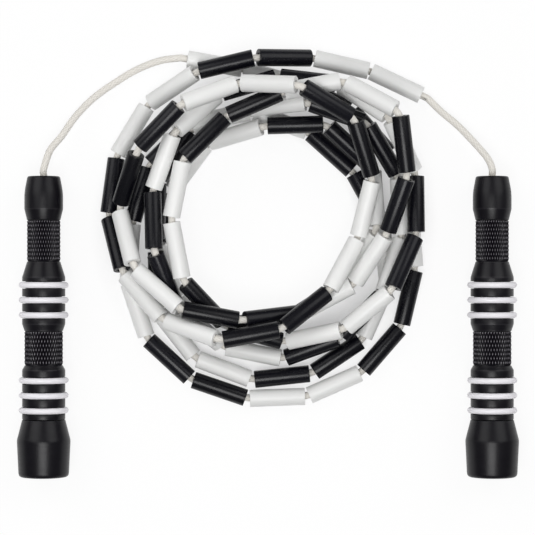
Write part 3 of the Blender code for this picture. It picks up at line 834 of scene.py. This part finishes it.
def lifts(joints, upper, lower, dimensions):
    """How far each pair's upper bead must rise where the two pass nearest, and where that is."""
    spread = BEAD_DIAMETER + BEAD_CLEARANCE
    runs = np.diff(joints, axis=0)
    seen = slice(0, dimensions)
    share_u, share_l = nearest_shares(
        joints[upper][:, seen], runs[upper][:, seen], joints[lower][:, seen], runs[lower][:, seen]
    )
    point_u = joints[upper] + runs[upper] * share_u[:, None]
    point_l = joints[lower] + runs[lower] * share_l[:, None]
    across = np.linalg.norm(point_u[:, :2] - point_l[:, :2], axis=1)
    needed = np.sqrt(np.maximum(spread**2 - across**2, 0.0))
    lift = np.where(across < spread, needed - (point_u[:, 2] - point_l[:, 2]), 0.0)
    return np.maximum(lift, 0.0), share_u


def settle(plan):
    """The joints with their heights, each bead raised until it clears those laid before it."""
    upper, lower = bead_pairs()
    heights = np.full(len(plan), BEAD_DIAMETER / 2 + FLOOR_GAP)
    for _ in range(SETTLE_ROUNDS):
        most = 0.0
        for dimensions in (2, 3):
            lift, share = lifts(np.column_stack([plan, heights]), upper, lower, dimensions)
            weight = share**2 + (1 - share) ** 2
            raised = np.zeros(len(plan))
            np.maximum.at(raised, upper, lift * (1 - share) / weight)
            np.maximum.at(raised, upper + 1, lift * share / weight)
            heights = heights + raised
            most = max(most, lift.max())
        if most < SETTLE_TOLERANCE:
            break
    return np.column_stack([plan, heights])


def bead_ends(joints):
    """The two end centres of each bead, midway along its run, and the run's direction."""
    runs = np.diff(joints, axis=0)
    middles = (joints[1:] + joints[:-1]) / 2
    along = runs / np.linalg.norm(runs, axis=1)[:, None]
    return middles - along * BEAD_LENGTH / 2, middles + along * BEAD_LENGTH / 2, along


# The rope's own pieces


def nose_points(nose):
    """The cord's straight run from its knot to just past the nose."""
    steps = (-CORD_START, -CORD_START / 2, 0.0, CORD_DIAMETER)
    return [(nose.x, nose.y + step, nose.z) for step in steps]


def lead_line(side, lead, end):
    """The free cord from a handle's knot through its lead to the beads."""
    lead_points = [tuple(value * MM for value in point) for point in lead]
    points = [*nose_points(nose_of(side)), *lead_points, end]
    return spaced(smooth_line(points, LEAD_STEPS), BRAID_SAMPLE)


def bent(start, corner, end):
    """An easy bend from start to end, drawn towards the corner."""
    shares = np.linspace(0.0, 1.0, BEND_STEPS + 1)[:, None]
    return start * (1 - shares) ** 2 + corner * 2 * shares * (1 - shares) + end * shares**2


def cord_route(joints):
    """The whole cord, from the right handle through every bead to the left handle."""
    starts, ends, along = bead_ends(joints)
    right = lead_line("right", RIGHT_LEAD, starts[0] - along[0] * CORD_STUB)
    left = lead_line("left", LEFT_LEAD, ends[-1] + along[-1] * CORD_STUB)
    route = [*right, starts[0] + along[0] * BEND_INSIDE_BEAD]
    for bead in range(BEAD_COUNT - 1):
        start = ends[bead] - along[bead] * BEND_INSIDE_BEAD
        end = starts[bead + 1] + along[bead + 1] * BEND_INSIDE_BEAD
        route += [*bent(start, joints[bead + 1], end)]
    return np.array([*route, *left[::-1]])


def tube_frames(line):
    """Two directions across the line at each point, turning as little as they can."""
    tangents = np.gradient(line, axis=0)
    tangents /= np.linalg.norm(tangents, axis=1)[:, None]
    across = np.cross(tangents[0], (0.0, 0.0, 1.0))
    sides = []
    for tangent in tangents:
        across = across - tangent * (across @ tangent)
        across = across / np.linalg.norm(across)
        sides.append(across)
    sides = np.array(sides)
    return sides, np.cross(tangents, sides)


def braided_tube(line, diameter, closed):
    """A tube of braid along the line: strands wound both ways, each crossing a raised lozenge."""
    turns = np.linspace(0.0, 2 * math.pi, CORD_SIDES, endpoint=False)[None, :]
    wind = math.pi * travelled(line)[:, None] / BRAID_PITCH
    strands = BRAID_STRANDS * turns / 4
    relief = np.sqrt(np.abs(np.cos(strands + wind) * np.cos(strands - wind)))
    radius = diameter / 2 - BRAID_RELIEF * (1 - relief)
    side, up = tube_frames(line)
    points = (
        line[:, None, :]
        + (radius * np.cos(turns))[:, :, None] * side[:, None, :]
        + (radius * np.sin(turns))[:, :, None] * up[:, None, :]
    )
    count = len(line)
    faces = []
    for row in range(count if closed else count - 1):
        near, far = row * CORD_SIDES, (row + 1) % count * CORD_SIDES
        for k in range(CORD_SIDES):
            after = (k + 1) % CORD_SIDES
            faces.append((near + k, near + after, far + after, far + k))
    if not closed:
        faces.append(tuple(range(CORD_SIDES))[::-1])
        faces.append(tuple(range((count - 1) * CORD_SIDES, count * CORD_SIDES)))
    mesh = bpy.data.meshes.new("braid")
    mesh.from_pydata(points.reshape(-1, 3), [], faces)
    store(mesh, "braid", "FLOAT", relief)
    turn_outward(mesh)
    mesh.shade_smooth()
    return mesh


def knot_line(side):
    """An overhand knot's loop behind the stop washer."""
    nose = nose_of(side)
    centre = np.array((nose.x, nose.y - KNOT_INSET, nose.z))
    turns = np.linspace(0.0, 2 * math.pi, KNOT_POINTS, endpoint=False)
    across = np.sin(turns) + 2 * np.sin(2 * turns)
    up = np.cos(turns) - 2 * np.cos(2 * turns)
    depth = -np.sin(3 * turns)
    loop = np.column_stack([across * KNOT_SLIMNESS, depth, up * KNOT_SLIMNESS])
    return centre + loop * KNOT_SPREAD


def bead_rows():
    """One bead's outline, from bore to bore over the outside, with its cut edges eased."""
    half = BEAD_LENGTH / 2
    radius = BEAD_DIAMETER / 2
    bore = BEAD_BORE / 2
    return rounded(
        [
            (-half, bore, BEAD_BORE_EDGE),
            (-half, radius, BEAD_EDGE),
            (half, radius, BEAD_EDGE),
            (half, bore, BEAD_BORE_EDGE),
        ]
    )


def bead_shape():
    """The points of a bead that lies along Z, and its faces."""
    rows = bead_rows()
    turns = np.linspace(0.0, 2 * math.pi, BEAD_SIDES, endpoint=False)
    along = np.array([row[0] for row in rows])
    reach = np.array([row[1] for row in rows])
    points = np.stack(
        [
            reach[:, None] * np.cos(turns),
            reach[:, None] * np.sin(turns),
            np.repeat(along[:, None], BEAD_SIDES, axis=1),
        ],
        axis=2,
    ).reshape(-1, 3)
    faces = []
    for row in range(len(rows)):
        near, far = row * BEAD_SIDES, (row + 1) % len(rows) * BEAD_SIDES
        for k in range(BEAD_SIDES):
            after = (k + 1) % BEAD_SIDES
            faces.append((near + k, near + after, far + after, far + k))
    return points, faces


def beads_mesh(beads, starts, ends):
    """The given beads as one mesh, with each bead's own place and shade stored on it."""
    local, quads = bead_shape()
    chance = np.random.default_rng(BEAD_SEED)
    spin = chance.uniform(0, 2 * math.pi, BEAD_COUNT)
    shade = chance.uniform(0, 1, BEAD_COUNT)
    points, faces, places, shades = [], [], [], []
    for bead in beads:
        direction = Vector(ends[bead] - starts[bead])
        turn = direction.to_track_quat("Z", "X").to_matrix() @ Matrix.Rotation(spin[bead], 3, "Z")
        middle = (starts[bead] + ends[bead]) / 2
        first = len(points) * len(local)
        points.append(local @ np.array(turn).T + middle)
        faces += [tuple(first + corner for corner in quad) for quad in quads]
        places.append(local + (0.0, 0.0, BEAD_NOISE_SPACING * bead))
        shades.append(np.full(len(local), shade[bead]))
    mesh = bpy.data.meshes.new("beads")
    mesh.from_pydata(np.concatenate(points), [], faces)
    store(mesh, "bead_place", "FLOAT_VECTOR", np.concatenate(places))
    store(mesh, "bead_shade", "FLOAT", np.concatenate(shades))
    turn_outward(mesh)
    smooth(mesh)
    return mesh


def is_white(bead):
    """Beads come in twos, white first from the right-hand end."""
    return (bead // 2) % 2 == 0


def add_rope(cord, white, black):
    """The beads, the knots and the cord through them all."""
    joints = settle(thread_beads(coil_line()))
    starts, ends, _ = bead_ends(joints)
    for bead in range(LOOSE_BEADS):
        node = f"bead_{bead + 1}"
        material, slot = (white, "white_bead") if is_white(bead) else (black, "black_bead")
        mesh = beads_mesh([bead], starts, ends)
        add_piece(f"{node}_finish", mesh, material, f"{node}_body", [node])
    fixed = range(LOOSE_BEADS, BEAD_COUNT)
    for name, material, slot, chosen in (
        ("white_beads", white, "white_bead", [bead for bead in fixed if is_white(bead)]),
        ("black_beads", black, "black_bead", [bead for bead in fixed if not is_white(bead)]),
    ):
        mesh = beads_mesh(chosen, starts, ends)
        add_piece(name, mesh, material, "rope", ["beaded_coil"])
    for side in SIDES:
        mesh = braided_tube(knot_line(side), KNOT_CORD_DIAMETER, closed=True)
        node = f"{side}_cord_knot"
        add_piece(f"{node}_finish", mesh, cord, "rope", [node])
    route = cord_route(joints)
    mesh = braided_tube(route, CORD_DIAMETER, closed=False)
    covered = ["left_lead", "right_lead", "beaded_coil"]
    rope = add_piece("braided_cord", mesh, cord, "rope", covered)


# The studio


def add_camera():
    """The camera above the rope, looking straight down."""
    camera = add_object("camera", bpy.data.cameras.new("camera"))
    camera.location = Vector(CAMERA_AIM) + Vector((0.0, 0.0, CAMERA_DISTANCE))
    camera.data.sensor_width = SENSOR_WIDTH
    camera.data.lens = SENSOR_WIDTH * CAMERA_DISTANCE / VIEW_WIDTH
    bpy.context.scene.camera = camera


def glow_share(tree):
    """How much of the floor's white is its own glow: less under the coil, to keep its shade."""
    away = tree.nodes.new("ShaderNodeVectorMath")
    away.operation = "DISTANCE"
    away.inputs[1].default_value = (*COIL_CENTRE, 0.0)
    tree.links.new(object_place(tree), away.inputs[0])
    inside = ranged(tree, away.outputs["Value"], (1.0, 0.0), COIL_INNER_EDGE)
    outside = ranged(tree, away.outputs["Value"], (0.0, 1.0), COIL_OUTER_EDGE)
    clear = calculated(tree, "MAXIMUM", inside, outside)
    return ranged(tree, clear, (COIL_GLOW, FLOOR_GLOW), (0.0, 1.0))


def seen_share(tree):
    """1 for rays that see the floor: from the camera, a reflection or through something clear."""
    path = tree.nodes.new("ShaderNodeLightPath")
    seen = path.outputs["Is Camera Ray"]
    for ray in ("Is Glossy Ray", "Is Transmission Ray"):
        seen = calculated(tree, "MAXIMUM", seen, path.outputs[ray])
    return seen


def add_floor():
    """A floor that the camera and reflections see nearly pure white, with a faint shadow left."""
    mesh = bpy.data.meshes.new("floor")
    corners = [
        (-FLOOR_REACH, -FLOOR_REACH, 0.0),
        (FLOOR_REACH, -FLOOR_REACH, 0.0),
        (FLOOR_REACH, FLOOR_REACH, 0.0),
        (-FLOOR_REACH, FLOOR_REACH, 0.0),
    ]
    mesh.from_pydata(corners, [], [range(len(corners))])
    floor = add_object("floor", mesh)
    material, tree, shader = new_material(
        "floor", Base_Color=FLOOR_COLOUR, Roughness=FLOOR_ROUGHNESS
    )
    share = calculated(tree, "MULTIPLY", seen_share(tree), glow_share(tree))
    glow = node_with(tree, "ShaderNodeEmission", Color=PURE_WHITE, Strength=1.0)
    blend = tree.nodes.new("ShaderNodeMixShader")
    for socket, source in zip(blend.inputs, (share, shader.outputs[0], glow.outputs[0])):
        tree.links.new(source, socket)
    tree.links.new(blend.outputs[0], tree.nodes["Material Output"].inputs["Surface"])
    mesh.materials.append(material)


def add_light(name, place, size, power):
    """A softbox aimed at the rope."""
    light = bpy.data.lights.new(name, "AREA")
    light.shape = "RECTANGLE"
    light.size, light.size_y = size
    light.energy = power
    lamp = add_object(name, light)
    lamp.location = place
    lamp.rotation_euler = (Vector(LIGHT_AIM) - Vector(place)).to_track_quat("-Z", "Y").to_euler()


def add_world():
    """Even light from all round."""
    world = bpy.data.worlds.new("studio")
    world.use_nodes = True
    background = world.node_tree.nodes["Background"]
    set_inputs(background, {"Color": PURE_WHITE, "Strength": WORLD_STRENGTH})
    bpy.context.scene.world = world


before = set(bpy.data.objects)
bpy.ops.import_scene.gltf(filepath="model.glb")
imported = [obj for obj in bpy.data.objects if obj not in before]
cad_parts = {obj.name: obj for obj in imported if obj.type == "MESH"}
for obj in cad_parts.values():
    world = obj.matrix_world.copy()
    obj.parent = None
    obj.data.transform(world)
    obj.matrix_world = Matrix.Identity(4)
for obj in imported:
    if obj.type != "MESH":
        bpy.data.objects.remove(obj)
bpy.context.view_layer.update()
bpy.context.scene.view_settings.view_transform = "Standard"
add_camera()
add_floor()
add_world()
for light_name, light_values in LIGHTS.items():
    add_light(light_name, *light_values)

ANODISED = anodised_material()
RUBBER = rubber_material()
STEEL = turned_metal("bearing_steel", STEEL_COLOURS, STEEL_ROUGHNESS)
BRASS = turned_metal("sleeve_brass", BRASS_COLOURS, BRASS_ROUGHNESS)
CORD = cord_material()
WHITE_BEAD = bead_material("white_bead", WHITE_COLOURS, WHITE_ROUGHNESS, WHITE_SPECULAR)
BLACK_BEAD = bead_material("black_bead", BLACK_COLOURS, BLACK_ROUGHNESS, BLACK_SPECULAR)

for handle_side in SIDES:
    add_handle(handle_side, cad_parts, ANODISED, RUBBER, STEEL, BRASS)
add_rope(CORD, WHITE_BEAD, BLACK_BEAD)
